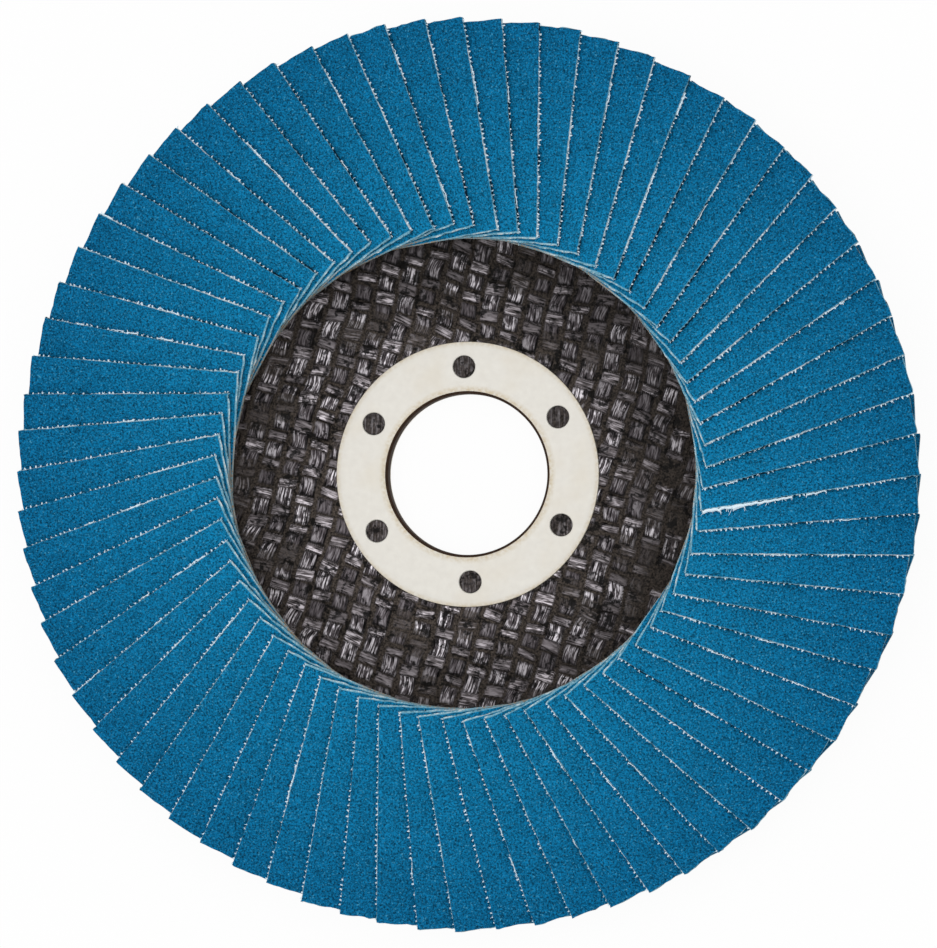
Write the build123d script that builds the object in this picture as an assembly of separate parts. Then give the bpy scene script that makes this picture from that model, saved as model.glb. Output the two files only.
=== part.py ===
from build123d import *
from math import atan, cos, degrees, pi, radians, sin, sqrt, tan
import os

# A flat flap disc with a dished hub, lying with its working side up, in millimetres.
# The origin is on the bore axis, in the plane of the hub's back face, and +Z is the working side.
# Each flap has a frame of its own: X runs outward along its free edge, and Y round the disc.

# Arbor ring, pressed from one sheet, and the bore that it lines
BORE_DIAMETER = 22.23
RING_SHEET = 0.6
RING_DIAMETER = 36.6
RING_PROUD = 0.3
LIP_DEPTH = 0.5
LIP_BEVELS = 2

# Holes through the middle of the ring's flange, and the resin keys that the plate fills them with
KEY_COUNT = 6
KEY_HOLE_DIAMETER = 3.1
KEY_START_ANGLE = 31.7
KEY_SUNK = 0.12

# Backing plate, one pressing: flat hub, raised shoulder, and a nearly flat cone out to the rim
PLATE_THICKNESS = 2.2
HUB_FLAT_DIAMETER = 60.0
SHOULDER_WIDTH = 2.1
SHOULDER_RISE = 1.3
CONE_ANGLE = 1.5

# Weave of the plate's glass tows, which shows on the hub: channels between the warp tows,
# and the crowns where a weft tow crosses over every other warp tow
WARP_PITCH = 3.0
WEFT_PITCH = 2.0
WARP_LEAN = 16.0
CHANNEL_WIDTH = 0.9
CHANNEL_DEPTH = 0.35
CROWN_WIDTH = 1.2
CROWN_HEIGHT = 0.12
WEAVE_MARGIN = 0.8

# Flaps: strips of abrasive cloth, each lying on the next one clockwise
DISC_DIAMETER = 125.0
RIM_OVERHANG = 4.5
FLAP_COUNT = 72
FLAP_START_ANGLE = -0.8
FLAP_THICKNESS = 0.85
FLAP_RUNS = 3
CREST_LAND = 0.3
FREE_EDGE_OFFSET = 10.6
BURIED_EDGE_OFFSET = 6.0
FLAPS_PER_NODE = 2

# Adhesive bed on the cone, with the flaps' buried edges set in it
BED_INSET = 0.6
BED_RIM_INSET = 1.0
BED_FILM = 0.3

# Clearances between pieces
RING_CLEARANCE = 0.05
KEY_CLEARANCE = 0.04
FLAP_CLEARANCE = 0.1

# Places that follow from the sizes above
bore_radius = BORE_DIAMETER / 2
collar_radius = bore_radius + RING_SHEET
key_circle_radius = (bore_radius + RING_DIAMETER / 2) / 2
hub_height = PLATE_THICKNESS
ring_back = hub_height + RING_PROUD - RING_SHEET
ring_front = ring_back + RING_SHEET
seat_radius = RING_DIAMETER / 2 + RING_CLEARANCE
weave_inner = seat_radius + WEAVE_MARGIN
shoulder_radius = HUB_FLAT_DIAMETER / 2
weave_outer = shoulder_radius - WEAVE_MARGIN
crest_radius = shoulder_radius + SHOULDER_WIDTH
crest_height = hub_height + SHOULDER_RISE
rim_radius = DISC_DIAMETER / 2 - RIM_OVERHANG
cone_slope = tan(radians(CONE_ANGLE))
pitch_angle = 360 / FLAP_COUNT
flap_inner_reach = crest_radius + CREST_LAND
flap_outer_reach = sqrt((DISC_DIAMETER / 2) ** 2 - FREE_EDGE_OFFSET**2)
buried_corner_radius = sqrt(flap_inner_reach**2 + BURIED_EDGE_OFFSET**2)

# How a solid that stands on its base is placed
STANDING = (Align.CENTER, Align.CENTER, Align.MIN)


def cone_height(radius, above=0.0):
    """Height of the cone's working face at a radius, or of a layer that thick on it."""
    return crest_height - cone_slope * (radius - crest_radius) + above / cos(radians(CONE_ANGLE))


def turned(points):
    """Revolves a closed section of (radius, height) points about the bore axis."""
    return revolve(Plane.XZ * make_face(Polyline(*points, close=True)), Axis.Z)


def upright_cylinder(radius, bottom, top):
    return Pos(0, 0, bottom) * Cylinder(radius, top - bottom, align=STANDING)


def key_places():
    """Centres of the ring's holes and of the plate's keys."""
    return PolarLocations(key_circle_radius, KEY_COUNT, start_angle=KEY_START_ANGLE)


def lip_section():
    """The rolled lip from the bore's wall to the flange's face, drawn in a few bevels."""
    turns = [step / LIP_BEVELS * pi / 2 for step in range(LIP_BEVELS + 1)]
    return [
        (bore_radius + RING_SHEET * (1 - cos(turn)), ring_front - LIP_DEPTH * (1 - sin(turn)))
        for turn in turns
    ]


def make_arbor_ring():
    """Flange on the hub, rolled lip, and the collar down through the plate."""
    flange = [(RING_DIAMETER / 2, ring_front), (RING_DIAMETER / 2, ring_back)]
    collar = [(collar_radius, ring_back), (collar_radius, 0), (bore_radius, 0)]
    ring = turned(lip_section() + flange + collar)
    for place in key_places():
        ring -= place * upright_cylinder(KEY_HOLE_DIAMETER / 2, ring_back, ring_front)
    return ring


def make_plate_blank():
    """One wall of even thickness, dished at the hub and coned outside it, with the ring's seat."""
    front = [
        (seat_radius, hub_height),
        (shoulder_radius, hub_height),
        (crest_radius, crest_height),
        (rim_radius, cone_height(rim_radius)),
    ]
    back = [(radius, height - PLATE_THICKNESS) for radius, height in reversed(front[1:])]
    plate_bore = collar_radius + RING_CLEARANCE
    seat = [(plate_bore, 0), (plate_bore, ring_back), (seat_radius, ring_back)]
    return turned(front + back + seat)


def weave_place(column, row):
    """Where a tow of the warp and one of the weft cross, on the hub's face."""
    return Rot(0, 0, -WARP_LEAN) * Pos(column * WARP_PITCH, row * WEFT_PITCH, hub_height)


def make_channels():
    """V-shaped resin channels between the warp tows, from the ring's seat to the shoulder."""
    half = CHANNEL_WIDTH / 2
    section = make_face(Polyline((-half, 0), (0, -CHANNEL_DEPTH), (half, 0), close=True))
    columns = int(weave_outer / WARP_PITCH) + 1
    channels = []
    for column in range(-columns, columns):
        near = abs(column + 0.5) * WARP_PITCH - half
        far = near + CHANNEL_WIDTH
        if far >= weave_outer:
            continue
        end = sqrt(weave_outer**2 - far**2)
        start = sqrt(weave_inner**2 - near**2) if near < weave_inner else -end
        channel = Pos(0, -start, 0) * extrude(Plane.XZ * section, end - start)
        channels.append(weave_place(column + 0.5, 0) * channel)
        if start > 0:
            channels.append(weave_place(column + 0.5, 0) * mirror(channel, Plane.XZ))
    return channels


def make_crowns():
    """Low crowns where a weft tow passes over every other warp tow."""
    crown = Box(WARP_PITCH - CHANNEL_WIDTH, CROWN_WIDTH, CROWN_HEIGHT, align=STANDING)
    inner = weave_inner + WARP_PITCH / 2
    outer = weave_outer - WARP_PITCH / 2
    columns = int(outer / WARP_PITCH)
    rows = int(outer / WEFT_PITCH)
    crowns = []
    for column in range(-columns, columns + 1):
        for row in range(-rows, rows + 1):
            centre_radius = sqrt((column * WARP_PITCH) ** 2 + (row * WEFT_PITCH) ** 2)
            if (column + row) % 2 == 0 and inner < centre_radius < outer:
                crowns.append(weave_place(column, row) * crown)
    return crowns


def make_backing_plate():
    """The pressed plate, with the weave of its glass tows on the hub and the ring's resin keys."""
    key = upright_cylinder(KEY_HOLE_DIAMETER / 2 - KEY_CLEARANCE, ring_back, ring_front - KEY_SUNK)
    keys = [place * key for place in key_places()]
    return make_plate_blank() - make_channels() + make_crowns() + keys


def packed_tilt(offset):
    """Tilt, in degrees, at which neighbouring flaps just clear each other at their inner ends.

    A flap that falls by `cone_slope` outward and by s across stands above the next one by
    pitch * (s * reach - cone_slope * offset), and needs its thickness and the clearance there.
    """
    pitch = radians(pitch_angle)
    layer = FLAP_THICKNESS + FLAP_CLEARANCE
    run = pitch * flap_inner_reach
    drop = pitch * cone_slope * offset
    a = run**2 - layer**2
    b = run * drop
    c = drop**2 - layer**2 * (1 + cone_slope**2)
    return degrees(atan((b + sqrt(b**2 - a * c)) / a))


def flap_edges():
    """The flap's upper and lower faces seen along its free edge, each from the buried edge to the free one.

    Both lie on arcs that bend from the buried edge's tilt to the free edge's, drawn in a few straight runs.
    """
    low_tilt = radians(packed_tilt(BURIED_EDGE_OFFSET))
    high_tilt = radians(packed_tilt(-FREE_EDGE_OFFSET))
    upper_radius = (BURIED_EDGE_OFFSET + FREE_EDGE_OFFSET) / (sin(low_tilt) - sin(high_tilt))
    lower_radius = upper_radius - FLAP_THICKNESS
    shift = BURIED_EDGE_OFFSET - upper_radius * sin(low_tilt)
    rise = cone_height(buried_corner_radius, above=BED_FILM) - lower_radius * cos(low_tilt)
    tilts = [low_tilt + (high_tilt - low_tilt) * step / FLAP_RUNS for step in range(FLAP_RUNS + 1)]
    upper = [(shift + upper_radius * sin(tilt), rise + upper_radius * cos(tilt)) for tilt in tilts]
    lower = [(shift + lower_radius * sin(tilt), rise + lower_radius * cos(tilt)) for tilt in tilts]
    return upper, lower


def laid_outward(section):
    """Extrudes a section, seen along a free edge, over the flap's length, down the cone's slope."""
    end_plane = Plane(origin=(flap_inner_reach, 0, 0), x_dir=(0, 1, 0), z_dir=(1, 0, 0))
    outward = Vector(1, 0, -cone_slope)
    length = (flap_outer_reach - flap_inner_reach) * outward.length
    return extrude(end_plane * make_face(Polyline(*section, close=True)), amount=length, dir=outward)


def round_the_disc(piece):
    """Copies a piece to every flap's place, anticlockwise."""
    return [Rot(0, 0, FLAP_START_ANGLE + index * pitch_angle) * piece for index in range(FLAP_COUNT)]


def make_flap():
    upper, lower = flap_edges()
    return laid_outward(upper + lower[::-1])


def make_adhesive_bed():
    """A ring of teeth on the cone: each flap's lower face lies on a ramp, and its buried edge on a riser."""
    inner = buried_corner_radius + BED_INSET
    outer = rim_radius - BED_RIM_INSET
    tilt = radians(packed_tilt(BURIED_EDGE_OFFSET))
    blank_depth = BED_FILM + 2 * outer * radians(pitch_angle) * tan(tilt)
    blank = turned(
        [
            (inner, cone_height(inner)),
            (outer, cone_height(outer)),
            (outer, cone_height(outer, above=blank_depth)),
            (inner, cone_height(inner, above=blank_depth)),
        ]
    )
    upper, lower = flap_edges()
    foot, shoulder = Vector(*lower[0]), Vector(*upper[0])
    riser_top = foot + (shoulder - foot).normalized() * 2 * blank_depth
    far_top = (lower[-1][0], lower[-1][1] + 2 * blank_depth)
    notch = laid_outward(lower + [far_top, (riser_top.X, riser_top.Y)])
    return blank - round_the_disc(notch)


def write_parts():
    os.makedirs("parts", exist_ok=True)
    export_step(make_arbor_ring(), "parts/arbor_ring.step")
    export_step(make_backing_plate(), "parts/backing_plate.step")
    export_step(make_adhesive_bed(), "parts/adhesive_bed.step")
    flaps = round_the_disc(make_flap())
    for first in range(0, FLAP_COUNT, FLAPS_PER_NODE):
        group = Compound(children=flaps[first : first + FLAPS_PER_NODE])
        export_step(group, f"parts/flap_pair_{first // FLAPS_PER_NODE + 1:02d}.step")


write_parts()
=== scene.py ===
import math

import bpy
import numpy as np
from mathutils import Matrix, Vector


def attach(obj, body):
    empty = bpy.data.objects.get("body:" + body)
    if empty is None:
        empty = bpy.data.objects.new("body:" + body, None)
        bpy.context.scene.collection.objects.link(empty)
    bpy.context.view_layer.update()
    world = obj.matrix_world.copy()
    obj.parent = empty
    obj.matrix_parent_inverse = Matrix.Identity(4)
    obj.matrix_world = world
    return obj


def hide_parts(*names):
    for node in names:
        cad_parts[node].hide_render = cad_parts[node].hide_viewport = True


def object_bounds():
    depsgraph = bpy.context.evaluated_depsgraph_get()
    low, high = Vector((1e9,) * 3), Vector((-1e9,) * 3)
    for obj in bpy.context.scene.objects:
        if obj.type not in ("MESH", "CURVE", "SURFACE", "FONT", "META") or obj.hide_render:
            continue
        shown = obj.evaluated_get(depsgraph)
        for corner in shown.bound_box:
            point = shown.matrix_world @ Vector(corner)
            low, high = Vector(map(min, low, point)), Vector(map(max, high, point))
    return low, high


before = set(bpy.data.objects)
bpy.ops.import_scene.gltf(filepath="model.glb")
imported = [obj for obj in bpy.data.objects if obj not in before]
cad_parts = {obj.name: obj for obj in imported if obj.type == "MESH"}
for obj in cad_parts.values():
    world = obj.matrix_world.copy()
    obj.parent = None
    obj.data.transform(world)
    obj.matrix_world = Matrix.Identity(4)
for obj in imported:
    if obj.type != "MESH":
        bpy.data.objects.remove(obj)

cad_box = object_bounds()

# A flat flap disc with a dished hub, lying with its working side up.
# Lengths below are in millimetres, as in the part's source.
MM = 0.001

# Camera: above the disc, leaning a little to the right and to the near side, as the photograph has it
IMAGE_HEIGHT = 948
CAMERA_LEANS = (8.93, -1.92)
CAMERA_DISTANCE = 600.0
MM_PER_PIXEL = 0.13845
CAMERA_TARGET = (-0.19, 0.11, 0.0)

# Lamps: name, place and power, with the light that comes from the room on all sides
LAMPS = (("key", (-260, -90, 800), 1.9), ("fill", (260, 160, 800), 1.5))
LAMP_SIZE = 600
ROOM_LIGHT = 0.6
FLOOR_HALF_SIZE = 1500.0
FLOOR_GLOW_SHARE = 0.94

# Backing plate and arbor ring
PLATE_THICKNESS = 2.2
SEAT_RADIUS = 18.35
SEAT_HEIGHT = 1.9
PLATE_BORE_RADIUS = 11.765
SHOULDER_RADIUS = 30.0
CREST_RADIUS = 32.1
CREST_HEIGHT = 3.5
RIM_RADIUS = 58.0
CONE_SLOPE = math.tan(math.radians(1.5))
HUB_HEIGHT = 2.2
WARP_LEAN = 16.0
WARP_PITCH = 3.0
WEFT_PITCH = 2.0

RING_RADIUS = 18.3
RING_SHEET = 0.6
RING_FRONT = 2.5
LIP_DEPTH = 0.5
BORE_RADIUS = 11.115
KEY_COUNT = 6
KEY_START_ANGLE = 31.7
KEY_CIRCLE_RADIUS = 14.86
KEY_HOLE_RADIUS = 1.55
KEY_RADII = (1.51, 1.46, 1.1, 0.75, 0.4)
KEY_SIDE_TOP = 2.3
KEY_TOP = 2.36

# Weave: the weft's crowns over the warp, and the windows where the warp shows between them
CROWN_HALF_LENGTH = 1.3
CROWN_HALF_WIDTH = 0.4
CROWN_HEIGHT = 0.12
WINDOW_HALF_WIDTH = 1.06
WINDOW_HALF_LENGTH = 1.1
WINDOW_DEPTH = 0.16
GAP_DEPTH = 0.2
BACK_WEAVE_SHARE = 0.7

# How closely the plate and the ring are divided: points in a ring, and the pitch between rings
WEAVE_POINTS = 800
PLATE_POINTS = 400
WEAVE_RING_PITCH = 0.205
BACK_RING_PITCH = 0.66
KEY_POINTS = 24
RING_POINTS = 192
HOLE_POINTS = 40

# Flaps: each lies on the next one clockwise, and comes down on it towards the rim
FLAP_COUNT = 72
FLAPS_PER_NODE = 2
FLAP_START_ANGLE = -0.8
FLAP_THICKNESS = 0.85
FLAP_LAYER = 0.95
INNER_REACH = 32.4
MIDDLE_REACH = 47.0
OUTER_REACH = 61.73
PACK_SHIFT = 0.25
BURIED_EDGE = 6.0
FREE_EDGE = -10.45
END_SKEW = 0.027
BURIED_HEIGHT = 4.58
FREE_HEIGHT = 10.43
FREE_SLOPE = 0.028
CUT_DEPTHS = (0.0, 0.14, 0.48, FLAP_THICKNESS)
YARN_PITCH = 0.72
END_YARN_PITCH = 0.62
STUB_RADIUS = 0.125
FIBRE_RADIUS = 0.045
FLAP_COLUMNS = 97
EDGE_KNOTS = 60

# How much the flaps slip from their true places: lean in degrees, then lengths
LEAN_SPREAD = 0.28
EDGE_SPREAD = 0.09
START_SPREAD = 0.13
END_SPREAD = 0.1

# Yarns pulled loose at free edges: flap, where they start and end along it, and how thick they are
LOOSE_YARNS = (
    (2, 32.4, 44.5, 0.24), (2, 36.4, 38.0, 0.4), (2, 46.5, 49.2, 0.14), (14, 56.2, 59.2, 0.13),
    (31, 59.5, 61.2, 0.13), (34, 43.0, 45.0, 0.12), (34, 48.0, 49.5, 0.12),
)

random = np.random.default_rng(72)


# Helpers

def add_piece(name, points, faces, materials, face_materials=None, sharp_angle=35.0):
    """A mesh piece of the object from points in millimetres, riding on the body."""
    mesh = bpy.data.meshes.new(name)
    mesh.from_pydata((np.asarray(points, float) * MM).tolist(), [], [tuple(face) for face in faces])
    for material in materials:
        mesh.materials.append(material)
    if face_materials is not None:
        mesh.polygons.foreach_set("material_index", np.asarray(face_materials, np.int32))
    mesh.polygons.foreach_set("use_smooth", np.ones(len(mesh.polygons), bool))
    mesh.set_sharp_from_angle(angle=math.radians(sharp_angle))
    mesh.validate()
    mesh.update()
    piece = bpy.data.objects.new(name, mesh)
    bpy.context.scene.collection.objects.link(piece)
    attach(piece, "root")
    return piece


def add_values(piece, **values):
    """Named numbers at a piece's points, for its materials."""
    for name, numbers in values.items():
        attribute = piece.data.attributes.new(name, "FLOAT", "POINT")
        attribute.data.foreach_set("value", np.asarray(numbers, np.float32))


class Graph:
    """A material's nodes, wired by short calls. Texture lengths are in millimetres."""

    def __init__(self, name):
        self.material = bpy.data.materials.new(name)
        self.material.use_nodes = True
        self.tree = self.material.node_tree
        self.shader = self.tree.nodes["Principled BSDF"]
        coords = self.add("ShaderNodeTexCoord").outputs["Object"]
        to_mm = {"Vector": coords, "Scale": (1 / MM, 1 / MM, 1 / MM)}
        self.mm = self.add("ShaderNodeMapping", to_mm, vector_type="POINT").outputs["Vector"]

    def add(self, kind, inputs=None, **settings):
        node = self.tree.nodes.new(kind)
        for key, value in settings.items():
            setattr(node, key, value)
        for key, value in (inputs or {}).items():
            if isinstance(value, bpy.types.NodeSocket):
                self.tree.links.new(value, node.inputs[key])
            else:
                node.inputs[key].default_value = value
        return node

    def noise(self, size, detail=2.0, vector=None, roughness=0.5):
        inputs = {"Vector": vector or self.mm, "Scale": 1 / size, "Detail": detail, "Roughness": roughness}
        return self.add("ShaderNodeTexNoise", inputs).outputs["Fac"]

    def ranged(self, value, low, high, to_low=0.0, to_high=1.0):
        inputs = {"Value": value, "From Min": low, "From Max": high, "To Min": to_low, "To Max": to_high}
        return self.add("ShaderNodeMapRange", inputs).outputs["Result"]

    def math(self, operation, first, second):
        return self.add("ShaderNodeMath", {0: first, 1: second}, operation=operation).outputs[0]

    def mixed(self, factor, first, second, blend="MIX"):
        node = self.add("ShaderNodeMix", data_type="RGBA", blend_type=blend)
        for index, value in ((0, factor), (6, first), (7, second)):
            if isinstance(value, bpy.types.NodeSocket):
                self.tree.links.new(value, node.inputs[index])
            else:
                node.inputs[index].default_value = value
        return node.outputs[2]

    def radius(self):
        """Distance from the bore's axis, in millimetres."""
        flat = self.add("ShaderNodeVectorMath", {0: self.mm, 1: (1, 1, 0)}, operation="MULTIPLY")
        return self.add("ShaderNodeVectorMath", {0: flat.outputs[0]}, operation="LENGTH").outputs["Value"]

    def attribute(self, name):
        return self.add("ShaderNodeAttribute", attribute_name=name).outputs["Fac"]

    def bump(self, height, depth, strength=1.0):
        inputs = {"Height": height, "Distance": depth * MM, "Strength": strength}
        return self.add("ShaderNodeBump", inputs).outputs["Normal"]

    def finish(self, colour, roughness, normal=None, **fixed):
        for key, value in {"Base Color": colour, "Roughness": roughness, "Normal": normal}.items():
            if isinstance(value, bpy.types.NodeSocket):
                self.tree.links.new(value, self.shader.inputs[key])
            elif value is not None:
                self.shader.inputs[key].default_value = value
        for key, value in fixed.items():
            self.shader.inputs[key.replace("_", " ")].default_value = value
        return self.material


def srgb(red, green, blue):
    """A colour written as 0 to 255 display values."""
    def linear(value):
        value /= 255
        return value / 12.92 if value <= 0.04045 else ((value + 0.055) / 1.055) ** 2.4
    return linear(red), linear(green), linear(blue), 1.0


# Materials

def make_grit():
    graph = Graph("blue_grit")
    grain = graph.noise(0.26, detail=2.0, roughness=0.75)
    clumps = graph.noise(3.5, detail=2.0)
    # Darker towards the rim: painted shade, for the outer flaps' steeper lean.
    outward = graph.ranged(graph.radius(), 34.0, 62.0)
    body = graph.mixed(outward, srgb(12, 108, 150), srgb(6, 90, 131))
    speckle = graph.ranged(grain, 0.33, 0.67, 0.24, 1.86)
    speckle = graph.math("MULTIPLY", speckle, graph.ranged(clumps, 0.3, 0.7, 0.94, 1.06))
    colour = graph.mixed(1.0, body, speckle, "MULTIPLY")
    glint = graph.ranged(graph.noise(0.24, detail=0.0), 0.68, 0.84)
    colour = graph.mixed(glint, colour, srgb(64, 146, 182))
    return graph.finish(colour, 0.8, graph.bump(grain, 0.07), Specular_IOR_Level=0.05)


def make_cloth():
    graph = Graph("polyester_cloth")
    fibre = graph.noise(0.16, detail=2.0)
    colour = graph.mixed(fibre, srgb(196, 196, 190), srgb(250, 248, 242))
    return graph.finish(colour, 0.85, graph.bump(fibre, 0.05), Specular_IOR_Level=0.2)


def make_thread():
    graph = Graph("loose_thread")
    fibre = graph.noise(0.2, detail=2.0)
    colour = graph.mixed(fibre, srgb(205, 234, 250), srgb(246, 252, 255))
    return graph.finish(colour, 0.9, graph.bump(fibre, 0.02), Specular_IOR_Level=0.1)


def make_cut_edge():
    """The cut side of the cloth: a pale line under the grit, then yarn ends with dark gaps. The dark is
    painted shadow, in the gap under the edge and between the yarn ends, over cloth darkened by resin.
    """
    graph = Graph("cut_edge")
    depth, light, stain = graph.attribute("depth"), graph.attribute("light"), graph.attribute("stain")
    fine = graph.noise(0.3, detail=2.0, roughness=0.7)
    # Lower on the cut side, towards the flap beneath, the colour darkens: painted shade.
    lit = graph.math("ADD", light, graph.ranged(depth, 0.1, 0.85, 0.1, -0.4))
    lit = graph.math("ADD", lit, graph.ranged(fine, 0.3, 0.7, -0.25, 0.25))
    colour = graph.mixed(graph.ranged(lit, 0.25, 0.5), srgb(3, 30, 46), srgb(122, 176, 198))
    colour = graph.mixed(graph.ranged(lit, 0.6, 0.85), colour, srgb(236, 238, 236))
    teal = graph.mixed(fine, srgb(40, 122, 156), srgb(150, 204, 220))
    colour = graph.mixed(graph.ranged(depth, 0.14, 0.02), colour, teal)
    browned = graph.math("MULTIPLY", stain, graph.ranged(fine, 0.35, 0.6))
    colour = graph.mixed(browned, colour, srgb(150, 124, 92))
    return graph.finish(colour, 0.85, graph.bump(fine, 0.05), Specular_IOR_Level=0.1)


def make_plate_resin():
    """Glass tows in dark resin. The mesh says where the crowns, windows and gaps of the weave are, with
    painted shadow in the gaps, and gives each tow's fibres a strand coordinate across them and a run along
    them."""
    graph = Graph("glass_fibre_resin")
    crown, window, gap_and_shadow, tone_and_shading = (graph.attribute(name) for name in ("crown", "window", "gap_and_shadow", "tone_and_shading"))
    strand, run = graph.attribute("strand"), graph.attribute("run")
    grain = graph.noise(0.3, detail=3.0, roughness=0.65)

    def fibres(width, length):
        place = {0: graph.math("DIVIDE", strand, width), 1: graph.math("DIVIDE", run, length)}
        vector = graph.add("ShaderNodeCombineXYZ", place).outputs[0]
        return graph.noise(1.0, detail=2.0, vector=vector, roughness=0.6)

    fine, coarse = fibres(0.2, 3.0), fibres(0.5, 1.6)
    streaks = graph.math("ADD", graph.math("MULTIPLY", fine, 0.6), graph.math("MULTIPLY", coarse, 0.4))
    resin = graph.mixed(graph.ranged(grain, 0.35, 0.65), srgb(20, 17, 15), srgb(76, 68, 62))
    body = graph.ranged(streaks, 0.4, 0.48)
    shine = graph.math("MULTIPLY", graph.ranged(streaks, 0.5, 0.58), tone_and_shading)
    weft = graph.mixed(shine, graph.mixed(body, srgb(18, 16, 15), srgb(98, 92, 94)), srgb(214, 206, 212))
    warp = graph.mixed(shine, graph.mixed(body, srgb(3, 2, 3), srgb(78, 72, 75)), srgb(236, 230, 236))
    colour = graph.mixed(crown, graph.mixed(window, resin, warp), weft)
    patches = graph.ranged(graph.noise(1.5, detail=3.0, roughness=0.7), 0.54, 0.62, 0.0, 0.9)
    # Black: painted shadow in the weave's gaps, and random dark patches.
    black = graph.math("MAXIMUM", graph.math("MULTIPLY", gap_and_shadow, graph.ranged(grain, 0.15, 0.35)), patches)
    colour = graph.mixed(black, colour, srgb(2, 2, 2))
    # Painted shade and sheen: the hub is lighter near the ring and darker out under the flaps' walls, and
    # lighter towards the lower left, where it would mirror the key lamp, than at the upper right.
    painted_shading = graph.ranged(graph.radius(), SEAT_RADIUS, 28.0, 1.32, 0.8)
    across_hub = {0: graph.mm, 1: (0.75, 0.66, 0.0)}
    aslant = graph.add("ShaderNodeVectorMath", across_hub, operation="DOT_PRODUCT").outputs["Value"]
    painted_shading = graph.math("MULTIPLY", painted_shading, graph.ranged(aslant, -28.0, 28.0, 1.22, 0.78))
    colour = graph.mixed(1.0, colour, painted_shading, "MULTIPLY")
    height = graph.math("ADD", streaks, graph.math("MULTIPLY", grain, 0.5))
    return graph.finish(colour, 0.55, graph.bump(height, 0.12), Specular_IOR_Level=0.08)


def make_adhesive():
    graph = Graph("cured_adhesive")
    lumps = graph.noise(1.2, detail=2.0)
    colour = graph.mixed(lumps, srgb(38, 30, 24), srgb(66, 54, 44))
    return graph.finish(colour, 0.35, graph.bump(lumps, 0.3), Specular_IOR_Level=0.5)


def make_tinplate():
    graph = Graph("tinplate")
    mottle = graph.noise(0.9, detail=3.0)
    blotches = graph.noise(5.0, detail=2.0)
    colour = graph.mixed(mottle, srgb(214, 210, 202), srgb(227, 224, 216))
    colour = graph.mixed(graph.ranged(blotches, 0.5, 0.75, 0.0, 0.35), colour, srgb(214, 205, 188))
    stain = graph.noise(0.5, detail=2.0)
    rim = graph.ranged(graph.radius(), RING_RADIUS - 0.7, RING_RADIUS)
    lip = graph.ranged(graph.radius(), BORE_RADIUS + 1.3, BORE_RADIUS + 0.6)
    stained = graph.ranged(stain, 0.35, 0.65, 0.2, 0.8)
    edges = graph.math("MULTIPLY", graph.math("MAXIMUM", rim, lip), stained)
    colour = graph.mixed(edges, colour, srgb(196, 180, 150))
    return graph.finish(colour, 0.55, graph.bump(mottle, 0.02), Metallic=0.15, Specular_IOR_Level=0.3)


def make_painted_shade_wall():
    """The collar's wall in the bore, dark brown: painted shade for the shadow in the bore and the dark
    things it mirrors, over a little brown staining.
    """
    graph = Graph("painted_shade_wall")
    stain = graph.noise(0.7, detail=3.0)
    colour = graph.mixed(stain, srgb(32, 22, 16), srgb(70, 52, 40))
    return graph.finish(colour, 0.6, graph.bump(stain, 0.03), Specular_IOR_Level=0.06)


grit = make_grit()
cloth = make_cloth()
cut_edge = make_cut_edge()
thread = make_thread()
plate_resin = make_plate_resin()
adhesive = make_adhesive()
tinplate = make_tinplate()
painted_shade_wall = make_painted_shade_wall()

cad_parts["adhesive_bed"].data.materials.clear()
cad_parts["adhesive_bed"].data.materials.append(adhesive)


# Floor, lights and camera

def make_floor():
    low, half = cad_box[0][2] / MM, FLOOR_HALF_SIZE
    corners = [(-half, -half, low), (half, -half, low), (half, half, low), (-half, half, low)]
    mesh = bpy.data.meshes.new("floor")
    mesh.from_pydata((np.array(corners) * MM).tolist(), [], [(0, 1, 2, 3)])
    floor = bpy.data.objects.new("floor", mesh)
    bpy.context.scene.collection.objects.link(floor)
    graph = Graph("white_floor")
    graph.finish(srgb(245, 245, 245), 0.9, Specular_IOR_Level=0.0)
    glow = graph.add("ShaderNodeEmission", {"Color": (1, 1, 1, 1), "Strength": 1.0})
    path = graph.add("ShaderNodeLightPath")
    seen = graph.math("MAXIMUM", path.outputs["Is Camera Ray"], path.outputs["Is Glossy Ray"])
    seen = graph.math("MAXIMUM", seen, path.outputs["Is Transmission Ray"])
    share = graph.math("MULTIPLY", seen, FLOOR_GLOW_SHARE)
    surface = graph.add("ShaderNodeMixShader", {0: share, 1: graph.shader.outputs[0], 2: glow.outputs[0]})
    output = graph.tree.nodes["Material Output"]
    graph.tree.links.new(surface.outputs[0], output.inputs["Surface"])
    mesh.materials.append(graph.material)


def make_world():
    world = bpy.data.worlds.new("studio")
    bpy.context.scene.world = world
    world.use_nodes = True
    nodes, links = world.node_tree.nodes, world.node_tree.links
    nodes.clear()
    room, white = nodes.new("ShaderNodeBackground"), nodes.new("ShaderNodeBackground")
    room.inputs["Color"].default_value = (1, 1, 1, 1)
    room.inputs["Strength"].default_value = ROOM_LIGHT
    white.inputs["Color"].default_value = (1, 1, 1, 1)
    path = nodes.new("ShaderNodeLightPath")
    first = nodes.new("ShaderNodeMath")
    first.operation = "MAXIMUM"
    second = nodes.new("ShaderNodeMath")
    second.operation = "MAXIMUM"
    links.new(path.outputs["Is Camera Ray"], first.inputs[0])
    links.new(path.outputs["Is Glossy Ray"], first.inputs[1])
    links.new(first.outputs[0], second.inputs[0])
    links.new(path.outputs["Is Transmission Ray"], second.inputs[1])
    mix = nodes.new("ShaderNodeMixShader")
    links.new(second.outputs[0], mix.inputs[0])
    links.new(room.outputs[0], mix.inputs[1])
    links.new(white.outputs[0], mix.inputs[2])
    output = nodes.new("ShaderNodeOutputWorld")
    links.new(mix.outputs[0], output.inputs["Surface"])


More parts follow.
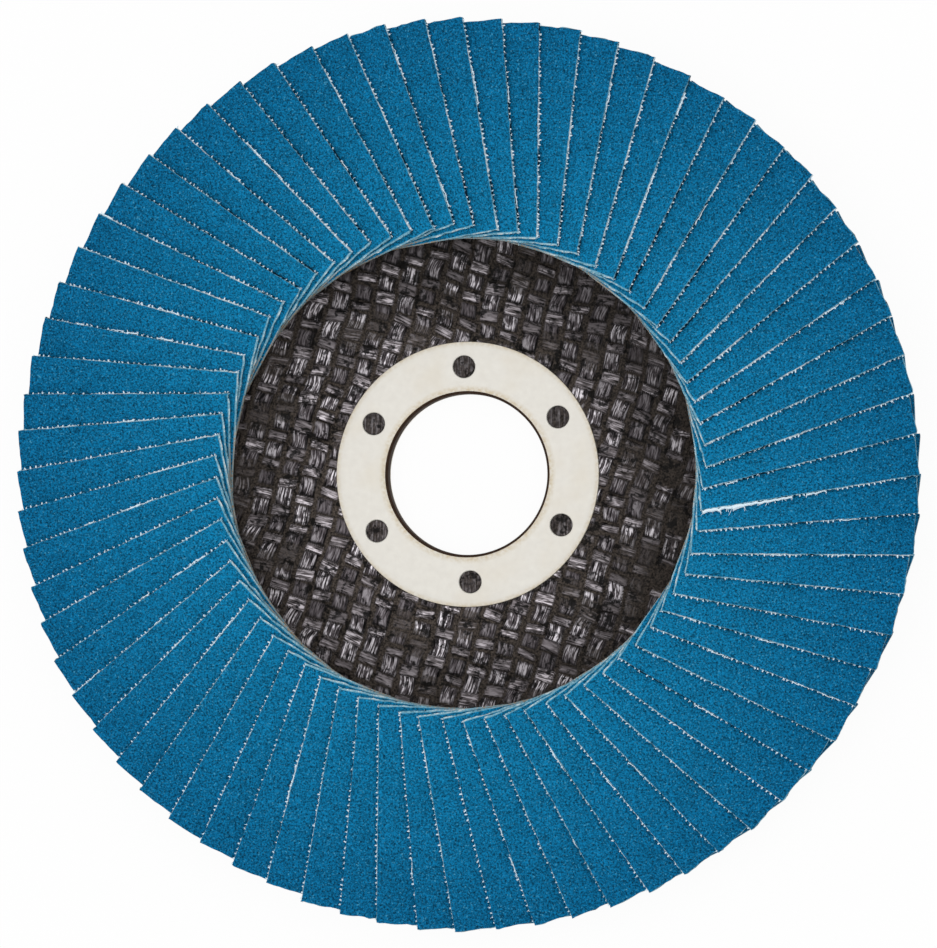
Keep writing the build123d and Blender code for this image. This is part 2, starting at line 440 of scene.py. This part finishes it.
def add_softbox(name, place, size, power):
    """A square area light that faces the disc."""
    light = bpy.data.lights.new(name, "AREA")
    light.shape = "SQUARE"
    light.size = size * MM
    light.energy = power
    lamp = bpy.data.objects.new(name, light)
    bpy.context.scene.collection.objects.link(lamp)
    point_at(lamp, place, (0, 0, 0))


def point_at(thing, place, target):
    """Puts a lamp or camera at a place, looking at a target, with the disc's +Y up in its view."""
    place, target = np.array(place, float), np.array(target, float)
    back = (place - target) / np.linalg.norm(place - target)
    right = np.cross((0.0, 1.0, 0.0), back)
    right /= np.linalg.norm(right)
    up = np.cross(back, right)
    matrix = np.eye(4)
    matrix[:3, 0], matrix[:3, 1], matrix[:3, 2], matrix[:3, 3] = right, up, back, place * MM
    thing.matrix_world = Matrix(matrix.tolist())


def make_camera():
    right, up = np.radians(CAMERA_LEANS)
    target = np.array(CAMERA_TARGET)
    back = np.array((math.sin(right) * math.cos(up), math.sin(up), math.cos(right) * math.cos(up)))
    place = target + CAMERA_DISTANCE * back
    camera = bpy.data.cameras.new("camera")
    camera.sensor_fit = "VERTICAL"
    camera.sensor_height = 36.0
    camera.lens = camera.sensor_height * CAMERA_DISTANCE / (IMAGE_HEIGHT * MM_PER_PIXEL)
    camera.clip_start = 0.01
    eye = bpy.data.objects.new("camera", camera)
    bpy.context.scene.collection.objects.link(eye)
    point_at(eye, place, target)
    bpy.context.scene.camera = eye


# Backing plate

def smooth_step(value, low, high):
    share = np.clip((value - low) / (high - low), 0, 1)
    return share * share * (3 - 2 * share)


def weave_pattern(x, y):
    """Height of the weave over the plate's face, and the values that its material needs there."""
    lean = math.radians(WARP_LEAN)
    u, v = x * math.cos(lean) - y * math.sin(lean), x * math.sin(lean) + y * math.cos(lean)
    u = u + 0.22 * np.sin(v / 4.3 + 1.0) + 0.14 * np.sin(v / 1.7)
    v = v + 0.3 * np.sin(u / 5.1 + 2.0)
    column = np.round(u / WARP_PITCH).astype(int)
    across = u - column * WARP_PITCH
    turn = v / (2 * WEFT_PITCH) + 0.5 * (column % 2)
    cell = np.round(turn).astype(int)
    along = (turn - cell) * 2 * WEFT_PITCH
    window_cell = np.floor(turn).astype(int)
    window_along = (turn - window_cell - 0.5) * 2 * WEFT_PITCH
    table = np.random.default_rng(16).random((14, 64, 64))
    crown_draws = table[:7, column % 64, cell % 64]
    window_draws = table[7:, column % 64, window_cell % 64]

    crown_half = CROWN_HALF_WIDTH + 0.42 * crown_draws[0]
    tipped = along + 0.3 * (crown_draws[4] - 0.5) * across + 0.35 * (crown_draws[5] - 0.5)
    crown_across = across - 0.35 * (crown_draws[1] - 0.5)
    crown = smooth_step(-np.abs(crown_across), -CROWN_HALF_LENGTH, 0.18 - CROWN_HALF_LENGTH)
    crown = crown * smooth_step(-np.abs(tipped), -crown_half - 0.1, -crown_half + 0.06)
    window_half = WINDOW_HALF_LENGTH + 0.6 * (window_draws[0] - 0.5)
    window_across = across + 0.08 + 0.3 * (window_draws[4] - 0.5)
    window_across = window_across + 0.12 * (window_draws[5] - 0.5) * window_along
    inside = np.minimum(WINDOW_HALF_WIDTH - np.abs(window_across), window_half - np.abs(window_along))
    window = smooth_step(inside, -0.03, 0.08) * (1 - crown)
    # The black of the gaps round the windows and along the crowns is painted shadow, darkest at one end and
    # one side of each window; the gaps are also real recesses in the height below.
    shaded_end = 0.35 + 0.65 * smooth_step(-window_along, 0.3, 1.1)
    shade = np.maximum(shaded_end, smooth_step(window_across, 0.3, 0.9))
    gap_and_shadow = smooth_step(-np.abs(inside - 0.08), -0.26, -0.08) * shade
    crown_gap = smooth_step(-np.abs(np.abs(tipped) - crown_half - 0.1), -0.16, -0.04)
    gap_and_shadow = np.maximum(gap_and_shadow, 0.9 * crown_gap * (np.abs(across) < 1.2))
    gap_and_shadow = gap_and_shadow * (1 - crown) * (0.45 + 0.55 * window_draws[3])

    # Towards the right of the hub the weave fades into plain resin colour in random cells, and so does
    # about one crown in ten anywhere.
    weave_faded = smooth_step(x + 2.5 * np.sin(y / 4.0), 19.0, 27.0) * smooth_step(window_draws[6], 0.3, 0.8)
    weave_faded = np.maximum(weave_faded, (crown_draws[2] > 0.9) * 0.7)
    crown, window, gap_and_shadow = crown * (1 - weave_faded), window * (1 - weave_faded), gap_and_shadow * (1 - 0.6 * weave_faded)

    ridges = np.sin(window_across * 2 * math.pi / 0.52 + 6 * window_draws[1])
    height = CROWN_HEIGHT * crown * (1 - (tipped / 0.8) ** 2 * 0.4)
    height = height - window * (WINDOW_DEPTH - 0.035 * ridges) - GAP_DEPTH * gap_and_shadow
    height = height - 0.05 * (1 - crown) * (1 - window)
    tone_and_shading = np.where(crown > window, 0.1 + 1.1 * crown_draws[3] ** 1.5, 0.1 + 1.2 * window_draws[2] ** 1.5)
    # Each crown's tone is lighter on one half and darker on the other: painted light and shade.
    tone_and_shading = tone_and_shading * (1 - 0.25 * np.sign(tipped) * crown)
    curve = 0.3 * (window_draws[5] - 0.5) * window_along**2
    bent = window_across + curve + 9 * window_draws[2]
    strand = np.where(crown > window, tipped + 9 * crown_draws[3], bent)
    run = np.where(crown > window, across + 7 * crown_draws[0], window_along + 7 * window_draws[0])
    values = {"crown": crown, "window": window, "gap_and_shadow": gap_and_shadow, "tone_and_shading": tone_and_shading, "strand": strand, "run": run}
    return height, values


def plate_face_height(radius):
    """The working face of the plate without its weave: hub, shoulder and the slight cone outside it."""
    stations = [
        SEAT_RADIUS, SHOULDER_RADIUS - 0.5, SHOULDER_RADIUS + 0.7,
        CREST_RADIUS - 0.5, CREST_RADIUS + 0.6, RIM_RADIUS,
    ]
    rise = CREST_HEIGHT - HUB_HEIGHT
    drop = CONE_SLOPE * (RIM_RADIUS - CREST_RADIUS)
    heights = [0, 0.03, 0.32 * rise, 0.85 * rise, rise - 0.6 * CONE_SLOPE, rise - drop]
    return HUB_HEIGHT + np.interp(radius, stations, heights)


def ring_points(radius, height, count):
    """A ring of points about the bore's axis."""
    turn = 2 * math.pi * np.arange(count) / count
    heights = np.broadcast_to(height, turn.shape)
    return np.stack([radius * np.cos(turn), radius * np.sin(turn), heights], axis=1)


def joined_rings(rings):
    """Faces between neighbouring closed rings, the last and the first too.

    Each ring has as many points as the one before it, or half or twice as many.
    """
    starts = np.cumsum([0] + [len(ring) for ring in rings])
    faces = []
    for index in range(len(rings)):
        following = (index + 1) % len(rings)
        inner, outer = starts[index], starts[following]
        many, few = len(rings[index]), len(rings[following])
        if many == few:
            here = np.arange(many)
            after = (here + 1) % many
            faces += np.stack([inner + here, outer + here, outer + after, inner + after], axis=1).tolist()
            continue
        flipped = many < few
        fine, coarse = (outer, inner) if flipped else (inner, outer)
        count = min(many, few)
        here = np.arange(count)
        after = (here + 1) % count
        first, second, third = fine + 2 * here, fine + 2 * here + 1, fine + (2 * here + 2) % (2 * count)
        triangles = (
            (first, coarse + here, second),
            (second, coarse + here, coarse + after),
            (second, coarse + after, third),
        )
        for triangle in triangles:
            corners = np.stack(triangle, axis=1)
            faces += (corners[:, ::-1] if flipped else corners).tolist()
    return faces


def stacked(rings):
    """Points and faces of a closed solid from a stack of rings, lowest first."""
    segments = len(rings[0])
    here = np.arange(segments)
    after = (here + 1) % segments
    faces = []
    for row in range(len(rings) - 1):
        low, high = row * segments, (row + 1) * segments
        faces += np.stack([low + here, low + after, high + after, high + here], axis=1).tolist()
    faces.append(here[::-1].tolist())
    faces.append(((len(rings) - 1) * segments + here).tolist())
    return np.concatenate(rings), faces


def make_plate():
    """The backing plate as one closed skin of rings, with the weave on its hub and its back."""
    rings, weights = [], []

    def add_ring(radius, height, count=PLATE_POINTS, weight=0.0):
        rings.append(ring_points(radius, height, count))
        weights.append(np.full(count, weight))

    def back_height(radius):
        return plate_face_height(radius) - PLATE_THICKNESS

    add_ring(SEAT_RADIUS, SEAT_HEIGHT)
    for radius in np.arange(SEAT_RADIUS, CREST_RADIUS + 0.9, WEAVE_RING_PITCH):
        add_ring(radius, plate_face_height(radius), WEAVE_POINTS, 1.0)
    for radius in (34.0, 42.0, 50.0, RIM_RADIUS - 0.2):
        add_ring(radius, plate_face_height(radius))
    add_ring(RIM_RADIUS, plate_face_height(RIM_RADIUS) - 0.3)
    add_ring(RIM_RADIUS, back_height(RIM_RADIUS) + 0.2)
    for radius in np.arange(RIM_RADIUS - 0.2, PLATE_BORE_RADIUS + 0.3, -BACK_RING_PITCH):
        add_ring(radius, back_height(max(radius, SEAT_RADIUS)), weight=-BACK_WEAVE_SHARE)
    add_ring(PLATE_BORE_RADIUS, 0.0)
    add_ring(PLATE_BORE_RADIUS, SEAT_HEIGHT)
    points, weight = np.concatenate(rings), np.concatenate(weights)
    height, values = weave_pattern(points[:, 0], points[:, 1])
    edge = smooth_step(np.hypot(points[:, 0], points[:, 1]), SEAT_RADIUS + 0.1, SEAT_RADIUS + 0.5)
    inward = np.maximum(CROWN_HEIGHT - height, 0) * -weight
    points[:, 2] += np.where(weight > 0, height * weight * edge, inward)
    faces = joined_rings(rings)
    key_points, key_faces = make_keys(len(points))
    piece = add_piece("woven_plate", np.concatenate([points, key_points]), faces + key_faces, [plate_resin])
    for name in ("crown", "window", "gap_and_shadow"):
        values[name] = values[name] * (weight != 0)
    key_gap = random.uniform(0, 0.6, len(key_points))
    key_values = {
        "crown": 0.0, "window": 0.3, "gap_and_shadow": key_gap, "tone_and_shading": 0.5,
        "strand": key_points[:, 0], "run": key_points[:, 1],
    }
    for name, key_value in key_values.items():
        values[name] = np.concatenate([values[name], np.broadcast_to(key_value, len(key_points))])
    add_values(piece, **values)
    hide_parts("backing_plate")


def key_centres():
    turns = np.radians(KEY_START_ANGLE + 360 / KEY_COUNT * np.arange(KEY_COUNT))
    return KEY_CIRCLE_RADIUS * np.stack([np.cos(turns), np.sin(turns)], axis=1)


def make_keys(first):
    """The resin that fills the ring's holes: low studs on the plate with a rough top."""
    points, faces = [], []
    for centre in key_centres():
        sides = (SEAT_HEIGHT - 0.3, KEY_SIDE_TOP)
        stud = [ring_points(KEY_RADII[0], height, KEY_POINTS) for height in sides]
        for radius in KEY_RADII[1:]:
            stud.append(ring_points(radius, KEY_TOP + random.normal(0, 0.02, KEY_POINTS), KEY_POINTS))
        stud_points, stud_faces = stacked(stud)
        start = first + len(points) * len(stud_points)
        faces += [[start + index for index in face] for face in stud_faces]
        points.append(stud_points + (*centre, 0))
    return np.concatenate(points), faces


# Arbor ring

def lathe(section, segments):
    """Points and faces of a closed section of (radius, height) points turned about the axis."""
    rings = [ring_points(radius, height, segments) for radius, height in section]
    return np.concatenate(rings), joined_rings(rings)


def make_ring():
    """Flange with six holes, rolled lip and collar, from one sheet."""
    collar_radius = BORE_RADIUS + RING_SHEET
    lip = [
        (BORE_RADIUS + RING_SHEET * (1 - math.cos(turn)), RING_FRONT - LIP_DEPTH * (1 - math.sin(turn)))
        for turn in np.linspace(0, math.pi / 2, 9)
    ]
    edge = [
        (RING_RADIUS - 0.12, RING_FRONT), (RING_RADIUS - 0.04, RING_FRONT - 0.03),
        (RING_RADIUS, RING_FRONT - 0.1),
    ]
    under = [
        (RING_RADIUS, SEAT_HEIGHT), (collar_radius, SEAT_HEIGHT),
        (collar_radius, 0), (BORE_RADIUS, 0), (BORE_RADIUS, 0.4),
    ]
    section = lip + [(12.6, RING_FRONT), (17.0, RING_FRONT)] + edge + under
    points, faces = lathe(section, RING_POINTS)
    heights = np.array([np.mean([points[corner][2] for corner in face]) for face in faces])
    radii = np.array([max(math.hypot(*points[corner][:2]) for corner in face) for face in faces])
    # Faces in the bore, and on the lower part of the lip where it turns steep, take the wall's painted
    # shade.
    wall = (radii < BORE_RADIUS + 0.45) & (heights > 0.3)
    outward = [face[::-1] for face in faces]
    ring = add_piece("tinplate_ring", points, outward, [tinplate, painted_shade_wall], wall)
    cutters, cutter_faces = [], []
    for centre in key_centres():
        section = [
            (KEY_HOLE_RADIUS, SEAT_HEIGHT - 0.4), (KEY_HOLE_RADIUS, RING_FRONT - 0.12),
            (KEY_HOLE_RADIUS + 0.035, RING_FRONT - 0.05), (KEY_HOLE_RADIUS + 0.135, RING_FRONT + 0.02),
        ]
        bit, bit_faces = stacked([ring_points(radius, height, HOLE_POINTS) for radius, height in section])
        start = sum(len(cutter) for cutter in cutters)
        cutter_faces += [[start + index for index in face] for face in bit_faces]
        cutters.append(bit + (*centre, 0))
    mesh = bpy.data.meshes.new("cutter")
    mesh.from_pydata((np.concatenate(cutters) * MM).tolist(), [], cutter_faces)
    cutter = bpy.data.objects.new("cutter", mesh)
    bpy.context.scene.collection.objects.link(cutter)
    holes = ring.modifiers.new("holes", "BOOLEAN")
    holes.operation, holes.solver, holes.object = "DIFFERENCE", "EXACT", cutter
    cut = bpy.data.meshes.new_from_object(ring.evaluated_get(bpy.context.evaluated_depsgraph_get()))
    ring.modifiers.clear()
    ring.data = cut
    cut.set_sharp_from_angle(angle=math.radians(35))
    bpy.data.objects.remove(cutter)
    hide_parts("arbor_ring")


# Flaps

def grid_quads(rows, columns, first=0):
    """Quads between the points of a grid that is stored row by row."""
    row, column = np.meshgrid(np.arange(rows - 1), np.arange(columns - 1), indexing="ij")
    corner = first + (row * columns + column).ravel()
    return np.stack([corner, corner + columns, corner + columns + 1, corner + 1], axis=1)


def flap_place(reach, across, depth):
    """A point of a flap in its own frame, at a depth below its upper face.

    The face rises evenly from the buried edge at the inner end. Further out, where the flaps are wider
    apart, it rises steeply first and then lies over, so that it rests on the next flap.
    """
    width = BURIED_EDGE - FREE_EDGE
    share = (BURIED_EDGE - across) / width
    low = BURIED_HEIGHT - CONE_SLOPE * (reach - INNER_REACH)
    rise = FREE_HEIGHT - FREE_SLOPE * (reach - INNER_REACH) - low
    shown = np.radians(360 / FLAP_COUNT) * reach / width
    bulge = np.clip((rise * shown - FLAP_LAYER) / (rise * shown * (1 - shown)), 0, 1)
    height = low + rise * (share + bulge * share * (1 - share))
    tilt = np.arctan(rise * (1 + bulge * (1 - 2 * share)) / width)
    place = (reach + END_SKEW * across, across - depth * np.sin(tilt), height - depth * np.cos(tilt))
    return np.stack(np.broadcast_arrays(*place), axis=-1)


def wander(count, step, spread):
    """A smooth random line of the given length, with about one bend every few points."""
    knots = random.normal(0, spread, max(2, count // step + 2))
    return np.interp(np.linspace(0, len(knots) - 1, count), np.arange(len(knots)), knots)


class Flap:
    """One flap's outline in its own frame, with small slips from the true place."""

    def __init__(self, angle):
        self.lean = random.normal(0, math.radians(LEAN_SPREAD))
        self.offset = random.normal(0, EDGE_SPREAD)
        self.start = INNER_REACH + random.normal(0, START_SPREAD)
        self.end = OUTER_REACH + PACK_SHIFT * math.cos(angle) + random.normal(0, END_SPREAD)
        self.ripple = wander(EDGE_KNOTS, 1, 0.03)
        self.light = np.clip(0.52 + wander(EDGE_KNOTS, 6, 0.35), 0, 1)

    def share_along(self, reach):
        return (reach - self.start) / (self.end - self.start)

    def free_edge(self, reach):
        ripple = np.interp(self.share_along(reach), np.linspace(0, 1, EDGE_KNOTS), self.ripple)
        return FREE_EDGE + self.offset + self.lean * (reach - MIDDLE_REACH) + ripple

    def lightness(self, reach):
        return np.interp(self.share_along(reach), np.linspace(0, 1, EDGE_KNOTS), self.light)


def make_flap(flap):
    """Points, faces, material numbers and cut-edge values of one flap's cloth in its own frame."""
    columns = FLAP_COLUMNS
    shares = np.concatenate([np.linspace(0, 0.62, 5)[:-1], np.linspace(0.62, 0.98, 9), [1.0]])
    width = len(shares)
    reach_line = np.linspace(flap.start, flap.end, columns)
    edge = flap.free_edge(reach_line)
    reach, share = np.meshgrid(reach_line, shares, indexing="ij")
    across = BURIED_EDGE + (edge[:, None] - BURIED_EDGE) * share
    along = flap.share_along(reach)
    reach = reach + wander(width, 1, 0.035)[None, :] * (1 - 2 * along)
    ring = np.concatenate([
        np.arange(0, width),
        np.arange(1, columns) * width + width - 1,
        (columns - 1) * width + np.arange(width - 2, -1, -1),
        np.arange(columns - 2, 0, -1) * width,
    ])
    count = reach.size
    top = flap_place(reach, across, random.normal(0, 0.012, reach.shape)).reshape(-1, 3)
    bottom = flap_place(reach, across, FLAP_THICKNESS).reshape(-1, 3)
    edge_reach, edge_across = reach.ravel()[ring], across.ravel()[ring]
    side = np.repeat([0, 1, 2, 3], [width, columns - 1, width - 1, columns - 2])
    out_reach, out_across = np.array((-1, 0, 1, 0))[side], np.array((0, -1, 0, 1))[side]
    yarns = 0.05 * np.cos(2 * math.pi * edge_reach / YARN_PITCH)
    end_yarns = 0.04 * np.cos(2 * math.pi * edge_across / END_YARN_PITCH)
    swells = np.array((0.2, 0.04, 0.02, 0.0))[side] + yarns + end_yarns
    layers = []
    for depth in CUT_DEPTHS[1:-1]:
        swell = swells + random.normal(0, 0.03, len(ring))
        layers.append(flap_place(edge_reach + out_reach * swell, edge_across + out_across * swell, depth))
    points = np.concatenate([top, bottom] + layers)
    first_layer = 2 * count + np.arange(len(ring))
    rims = [ring, first_layer, first_layer + len(ring), count + ring]
    upper = grid_quads(columns, width)[:, ::-1]
    lower = grid_quads(columns, width, count)
    faces = [upper, lower]
    numbers = [np.zeros(len(upper)), np.full(len(lower), 2)]
    for high, low in zip(rims, rims[1:]):
        faces.append(np.stack([high, low, np.roll(low, -1), np.roll(high, -1)], axis=1))
        numbers.append(np.ones(len(ring)))
    depths = np.concatenate([
        np.zeros(count), np.full(count, CUT_DEPTHS[-1]),
        np.full(len(ring), CUT_DEPTHS[1]), np.full(len(ring), CUT_DEPTHS[2]),
    ])
    # Lightness along the cut side: pale yarn ends with painted shadow between them and a random drift along
    # the free edge; the outer end and the buried edge are kept darker as painted shade.
    edge_light = flap.lightness(edge_reach) + 0.3 * np.cos(2 * math.pi * edge_reach / YARN_PITCH)
    edge_light = np.choose(side, (0.52, edge_light, 0.3, 0.3)) + random.normal(0, 0.13, len(ring))
    stained = 0.9 * (side == 0) * smooth_step(edge_across, -4.0, -1.5)
    light, stain = np.zeros(len(points)), np.zeros(len(points))
    for rim in rims:
        light[rim] = np.clip(edge_light, 0, 1)
        stain[rim] = stained
    values = {"depth": depths, "light": light, "stain": stain}
    return points, np.concatenate(faces), np.concatenate(numbers), values


def make_strand(line, radius, sides=3):
    """A closed thin strand along a line of points, tapered to its far end."""
    line = np.asarray(line)
    forward = line[-1] - line[0]
    forward = forward / np.linalg.norm(forward)
    helper = np.array((0.0, 0.0, 1.0)) if abs(forward[2]) < 0.9 else np.array((0.0, 1.0, 0.0))
    right = np.cross(forward, helper)
    right /= np.linalg.norm(right)
    up = np.cross(forward, right)
    turn = 2 * math.pi * np.arange(sides) / sides
    rim = np.cos(turn)[:, None] * right + np.sin(turn)[:, None] * up
    radii = radius * np.linspace(1, 0.55, len(line))
    return stacked(list(line[:, None, :] + radii[:, None, None] * rim[None]))


def make_tuft(root, outward, count, length, radius):
    """A few fibres that stand out of a cut edge, each bent a little."""
    strands = []
    for _ in range(count):
        aim = outward + random.normal(0, 0.38, 3)
        aim /= np.linalg.norm(aim)
        reach = length * random.uniform(0.5, 1.25)
        start = root + random.normal(0, 0.07, 3) - 0.06 * aim
        bend = start + 0.55 * reach * aim + random.normal(0, 0.03, 3)
        strands.append(make_strand([start, bend, start + reach * aim], radius * random.uniform(0.75, 1.2)))
    return strands


def make_flap_threads(flap, index):
    """Strands at the visible cut edges of one flap: along the free edge and at both ends."""
    strands = []
    for reach in np.arange(flap.start + 0.3, flap.end - 0.1, YARN_PITCH):
        reach = reach + random.normal(0, 0.07)
        light = flap.lightness(reach)
        if random.random() < 0.15:
            continue
        root = flap_place(reach, flap.free_edge(reach), random.uniform(0.25, 0.5))
        aim = np.array((random.normal(0, 0.3), -1.0, random.normal(0.1, 0.2)))
        stub = random.uniform(0.12, 0.32) * (0.75 + 0.55 * light)
        line = [root - 0.05 * aim, root + 0.6 * stub * aim, root + stub * aim]
        strands.append(make_strand(line, STUB_RADIUS, 5))
        strands += make_tuft(root, aim, 2, 0.32, FIBRE_RADIUS)
    for end, side, far, length in ((flap.start, -1.0, -1.0, 0.3), (flap.end, 1.0, -5.5, 0.1)):
        for across in np.arange(flap.free_edge(end) + 0.15, far, END_YARN_PITCH):
            if random.random() < 0.5:
                continue
            root = flap_place(end, across + random.normal(0, 0.05), random.uniform(0.4, 0.6))
            strands += make_tuft(root, np.array((side, 0.0, -0.2)), 1, length, 0.035)
    corner = flap_place(flap.start, flap.free_edge(flap.start), 0.35)
    strands += make_tuft(corner, np.array((-0.6, -0.6, 0.1)), 5, 0.3, 0.05)
    loose = [(start, end, thick) for owner, start, end, thick in LOOSE_YARNS if owner == index]
    while random.random() < 0.45:
        start = random.uniform(flap.start + 1, flap.end - 5)
        loose.append((start, start + random.uniform(0.8, 3.5), 0.07))
    for start, end, thick in loose:
        reach = np.linspace(start, end, max(4, int((end - start) / 0.35)))
        across = flap.free_edge(reach) - 0.1 - 0.5 * thick + random.normal(0, 0.05, len(reach))
        line = flap_place(reach, across, 0.3) + random.normal(0, 0.03, (len(reach), 3))
        strands.append(make_strand(line, thick, 5))
        for root in line[:: 3 if thick > 0.1 else 6]:
            strands += make_tuft(root, np.array((0.0, -0.9, 0.3)), 3, 2.2 * thick + 0.1, 0.05)
    return strands


def turned_about_axis(points, angle):
    """Turns points in a flap's frame to the flap's place round the disc."""
    cosine, sine = math.cos(angle), math.sin(angle)
    x, y = points[:, 0], points[:, 1]
    return np.stack([cosine * x - sine * y, sine * x + cosine * y, points[:, 2]], axis=1)


def make_flap_pieces():
    for node in range(FLAP_COUNT // FLAPS_PER_NODE):
        points, faces, numbers, total = [], [], [], 0
        values = {"depth": [], "light": [], "stain": []}
        for index in range(node * FLAPS_PER_NODE, (node + 1) * FLAPS_PER_NODE):
            angle = math.radians(FLAP_START_ANGLE + 360 / FLAP_COUNT * index)
            flap = Flap(angle)
            flap_points, flap_faces, flap_numbers, flap_values = make_flap(flap)
            points.append(turned_about_axis(flap_points, angle))
            faces += (flap_faces + total).tolist()
            numbers.append(flap_numbers)
            for key, value in flap_values.items():
                values[key].append(value)
            total += len(flap_points)
            for strand_points, strand_faces in make_flap_threads(flap, index):
                points.append(turned_about_axis(strand_points, angle))
                faces += [tuple(total + corner for corner in face) for face in strand_faces]
                numbers.append(np.full(len(strand_faces), 3))
                for value in values.values():
                    value.append(np.zeros(len(strand_points)))
                total += len(strand_points)
        name = f"{node + 1:02d}"
        points, numbers = np.concatenate(points), np.concatenate(numbers)
        piece = add_piece("flap_cloth_" + name, points, faces, [grit, cut_edge, cloth, thread], numbers)
        add_values(piece, **{key: np.concatenate(value) for key, value in values.items()})
        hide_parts("flap_pair_" + name)


make_plate()
make_ring()
make_flap_pieces()
make_floor()
make_world()
for name, place, power in LAMPS:
    add_softbox(name, place, LAMP_SIZE, power)
make_camera()

scene = bpy.context.scene
scene.view_settings.view_transform = "Standard"
